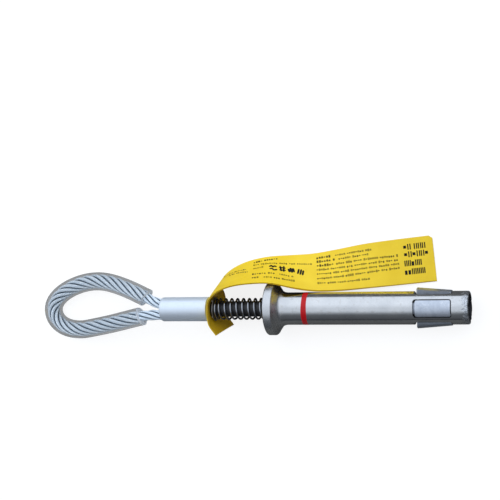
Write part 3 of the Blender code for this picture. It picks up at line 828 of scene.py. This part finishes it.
def make_label(name, side, node_name, look, corner=1.5):
    """One strip with a thickness, a punched hole and one rounded corner at its far end.

    The back strip lies a little to one side, so that its edge shows.
    """
    rows, wide = len(grid), COLUMNS + 1
    upper, lower = [], []
    for i, row in enumerate(grid):
        end = LABEL_LENGTH - run[i]
        inset = 0.0
        if end < corner:
            inset = (corner - math.sqrt(max(0.0, corner ** 2 - (corner - end) ** 2))) / LABEL_W
        peek = (row[0] - row[COLUMNS]).normalized()
        peek *= 0.5 * min(1.0, max(0.0, (run[i] - 60) / 20)) if side < 0 else 0.0
        for k in range(wide):
            t = (1 - inset) * k
            m = min(COLUMNS - 1, int(t))
            point = row[m].lerp(row[m + 1], t - m) + peek
            normal = grid_normal(i, k)
            upper.append(point + normal * (side * LABEL_MID + LABEL_T / 2))
            lower.append(point + normal * (side * LABEL_MID - LABEL_T / 2))
    faces, shift = [], rows * wide
    for i in range(rows - 1):
        for k in range(COLUMNS):
            a, b = i * wide + k, i * wide + k + 1
            c, d = b + wide, a + wide
            faces += [(a, b, c, d), (d + shift, c + shift, b + shift, a + shift)]
    border = [i * wide for i in range(rows)] + [(rows - 1) * wide + k for k in range(1, wide)]
    border += [i * wide + COLUMNS for i in range(rows - 2, -1, -1)]
    border += [k for k in range(COLUMNS - 1, 0, -1)]
    for i, a in enumerate(border):
        b = border[(i + 1) % len(border)]
        faces.append((a, b, b + shift, a + shift))
    label = build(name, upper + lower, faces, look)
    cut(label, [turned("hole", [(-39.5, 4.95), (-31.5, 4.95)], bored=False, sides=48)])
    return finish_piece(label, "label", "yellow_vinyl", node_name, angle=40)


def make_print():
    """Greeked print: each word is a row of blocks, dots and bars."""
    rng = random.Random(11)
    verts, faces = [], []

    def bar(s0, s1, t0, t1):
        """A filled rectangle of ink."""
        start = len(verts)
        for s, t in ((s0, t0), (s1, t0), (s1, t1), (s0, t1)):
            verts.append(on_label(s, t, 0.012))
        faces.append((start, start + 1, start + 2, start + 3))

    def mark(s, t, width, height, pen):
        """A block, a dot or a pair of bars, so that no mark reads as a letter or a digit."""
        half, thin = height / 2 / LABEL_W, 0.8 * pen
        kind = rng.randint(0, 3)
        if kind == 0:
            bar(s, s + 0.85 * width, t - half, t + 0.5 * half)
        elif kind == 1:
            bar(s, s + 0.85 * width, t - 0.5 * half, t + 0.5 * half)
        else:
            bar(s, s + thin, t - half, t + half)
            bar(s + width - thin, s + width, t - half, t + half)

    def words(start, stop, t0, t1, height, pen):
        """A line of words from start to stop, in mm along the strip."""
        s, width = start, height * 0.62
        while s < stop:
            for _ in range(rng.randint(3, 8)):
                if s + width > stop:
                    return
                t = t0 + (t1 - t0) * (s - start) / (stop - start)
                tall = height * rng.choice((0.8, 0.8, 0.8, 1.05))
                mark(s, t, width, tall, pen)
                s += width + height * 0.24
            s += height * 0.55

    def big_word(start, stop, t, groups):
        """Tall heavy marks that fill the space from start to stop."""
        count = sum(groups) + 0.6 * (len(groups) - 1)
        pitch, s = (stop - start) / count, start
        for group in groups:
            for _ in range(group):
                mark(s, t, pitch * 0.84, 3.4, 0.85)
                s += pitch
            s += 0.6 * pitch

    bold, plain = 0.62, 0.44
    words(33.4, 50.0, 0.80, 0.62, 1.3, 0.55)
    words(37.0, 50.2, 0.66, 0.50, 1.3, 0.58)
    words(53.3, 68.9, 0.855, 0.90, 1.65, bold)
    words(53.1, 89.3, 0.745, 0.71, 1.5, plain)
    words(53.0, 60.3, 0.60, 0.625, 1.5, plain)
    words(52.3, 67.6, 0.367, 0.367, 1.7, bold)
    words(68.6, 77.8, 0.355, 0.32, 1.5, plain)
    words(52.2, 57.2, 0.222, 0.218, 1.7, bold)
    words(59.4, 77.7, 0.217, 0.20, 1.5, plain)
    lines = ((0.86, 0.845, 101.4, 124.4), (0.76, 0.75, 103.2, 122.6), (0.65, 0.64, 101.6, 140.0),
             (0.54, 0.545, 0, 139.8), (0.43, 0.455, 0, 139.6), (0.31, 0.365, 0, 140.1),
             (0.19, 0.19, 0, 122.0))
    for t0, t1, lead, stop in lines:
        if lead:
            words(91.3, lead, t0, t0, 1.7, bold)
        words(lead + 1.2 if lead else 91.0, stop, t0, t1, 1.45, plain)
    big_word(142.4, 155.6, 0.805, (2, 3))
    big_word(142.5, 157.0, 0.638, (6,))
    big_word(142.2, 152.5, 0.443, (5,))
    big_word(142.0, 154.1, 0.255, (6,))

    def pen_line(points, pen=0.58):
        """A marker line through (s, t) points, with round ends."""
        path = spline([(s, t * LABEL_W, 0) for s, t in points], 8)
        for i, p in enumerate(path):
            ahead = (path[min(i + 1, len(path) - 1)] - path[max(i - 1, 0)]).normalized()
            end = min(i, len(path) - 1 - i)
            half = pen * (0.55, 0.85, 1.0)[min(end, 2)]
            for sign in (-1, 1):
                verts.append(on_label(p.x - sign * ahead.y * half,
                                      (p.y + sign * ahead.x * half) / LABEL_W, 0.02))
            if i:
                n = len(verts)
                faces.append((n - 4, n - 3, n - 1, n - 2))

    pen_line([(62.9, 0.60), (64.0, 0.65), (65.0, 0.60), (66.0, 0.63), (67.2, 0.60)])
    pen_line([(63.0, 0.52), (64.4, 0.54), (65.6, 0.49), (67.6, 0.51)])
    pen_line([(69.4, 0.64), (69.9, 0.46)])
    pen_line([(71.6, 0.64), (71.4, 0.45)])
    pen_line([(68.7, 0.585), (72.6, 0.575)])
    pen_line([(68.8, 0.50), (72.7, 0.50)])
    pen_line([(74.2, 0.56), (74.9, 0.47), (75.6, 0.58), (76.3, 0.46), (77.0, 0.57), (77.7, 0.46)])
    pen_line([(79.6, 0.42), (80.6, 0.57)])
    pen_line([(81.0, 0.40), (82.0, 0.56)])
    pen_line([(82.4, 0.39), (83.2, 0.53)])
    mesh = bpy.data.meshes.new("label_print")
    mesh.from_pydata([ANCHOR @ v for v in verts], [], faces)
    mesh.materials.append(LOOKS["black_ink"])
    ink = bpy.data.objects.new("label_print", mesh)
    bpy.context.scene.collection.objects.link(ink)
    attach(ink, "label")
    return ink


rope = make_rope()
make_sleeve()
make_band()
make_wedges()
make_mandrel()
make_ferrule()
make_tube()
make_liner_and_washer()
make_spring()
ink = make_print()
front = make_label("label_strip_front", 1, "label_front", "yellow_vinyl")
# The back strip takes the darker copy of the yellow vinyl as painted shade.
back = make_label("label_strip_back", -1, "label_back", "yellow_vinyl_painted_shade")


# ---------------------------------------------------------------- floor, world and lights
def make_stage():
    """A pale floor that the metal reflects dark (a painted reflection), a sky that is bright over one
    side, and one soft lamp.
    """
    mesh = bpy.data.meshes.new("floor")
    mesh.from_pydata([(-3, -3, 0), (3, -3, 0), (3, 3, 0), (-3, 3, 0)], [], [(0, 1, 2, 3)])
    floor = bpy.data.objects.new("floor", mesh)
    bpy.context.scene.collection.objects.link(floor)
    mat, tree, shader = new_look("floor_paper", Roughness=0.9)
    path = node(tree, "ShaderNodeLightPath")
    # Painted reflection: glossy rays see the floor near black, so the metal parts reflect a dark floor;
    # other rays see it pale.
    tree.links.new(mix(tree, path.outputs["Is Glossy Ray"], (0.90, 0.90, 0.90),
                       (0.13, 0.125, 0.115)), shader.inputs["Base Color"])
    # For camera rays, and partly for rays through the clear tube, the floor glows, which lightens the
    # shadows cast on it.
    glow = node(tree, "ShaderNodeEmission", Color=(1, 1, 1, 1), Strength=1.16)
    seen = math_node(tree, "MAXIMUM", path.outputs["Is Camera Ray"],
                     math_node(tree, "MULTIPLY", path.outputs["Is Transmission Ray"], 0.3))
    blend = node(tree, "ShaderNodeMixShader", Fac=math_node(tree, "MULTIPLY", seen, 0.72))
    tree.links.new(shader.outputs[0], blend.inputs[1])
    tree.links.new(glow.outputs[0], blend.inputs[2])
    tree.links.new(blend.outputs[0], tree.nodes["Material Output"].inputs["Surface"])
    mesh.materials.append(mat)

    world = bpy.data.worlds.new("studio")
    bpy.context.scene.world = world
    world.use_nodes = True
    tree = world.node_tree
    coords = node(tree, "ShaderNodeTexCoord")
    split = node(tree, "ShaderNodeSeparateXYZ", Vector=coords.outputs["Generated"])
    angle = math_node(tree, "ARCTAN2", split.outputs["Y"], split.outputs["Z"])
    spot = math_node(tree, "ADD", math_node(tree, "DIVIDE", angle, math.radians(360)), 0.5)
    stops = ((-97, 0.04), (-86, 0.045), (-72, 0.085), (-50, 0.115), (-42, 0.15), (-35, 0.26),
             (-28, 0.42), (-20, 0.64), (-12, 0.72), (3, 0.74), (16, 0.88), (32, 1.0),
             (78, 0.97), (88, 0.86), (91, 0.16), (105, 0.05))
    light = ramp(tree, spot, *((0.5 + degrees / 360, level) for degrees, level in stops))
    light = mix(tree, 1.0, light, (0.90, 0.985, 1.12), "MULTIPLY")
    across = math_node(tree, "ADD", math_node(tree, "MULTIPLY", split.outputs["X"], 0.5), 0.5)
    side = ramp(tree, across, (0.84, 1.0), (0.97, 0.30))
    light = mix(tree, 1.0, light, side, "MULTIPLY")
    path = node(tree, "ShaderNodeLightPath")
    plain = math_node(tree, "MAXIMUM",
                      math_node(tree, "LESS_THAN", path.outputs["Glossy Depth"], 0.5),
                      math_node(tree, "LESS_THAN", path.outputs["Transmission Depth"], 2.5))
    through = math_node(tree, "MULTIPLY", path.outputs["Is Transmission Ray"], plain)
    light = mix(tree, math_node(tree, "MULTIPLY", through, 0.75), light, (0.36, 0.37, 0.39))
    background = tree.nodes["Background"]
    tree.links.new(light, background.inputs["Color"])
    background.inputs["Strength"].default_value = 1.25

    lamp = bpy.data.lights.new("softbox", "AREA")
    lamp.shape = "RECTANGLE"
    lamp.size, lamp.size_y = 1.0, 0.8
    lamp.energy = 2.0
    obj = bpy.data.objects.new("softbox", lamp)
    obj.location = (-0.3, 0.5, 1.1)
    obj.rotation_euler = (Vector((0, 0, 0)) - obj.location).to_track_quat("-Z", "Y").to_euler()
    obj.visible_glossy = False
    bpy.context.scene.collection.objects.link(obj)


make_stage()
bpy.context.scene.view_settings.view_transform = "Standard"
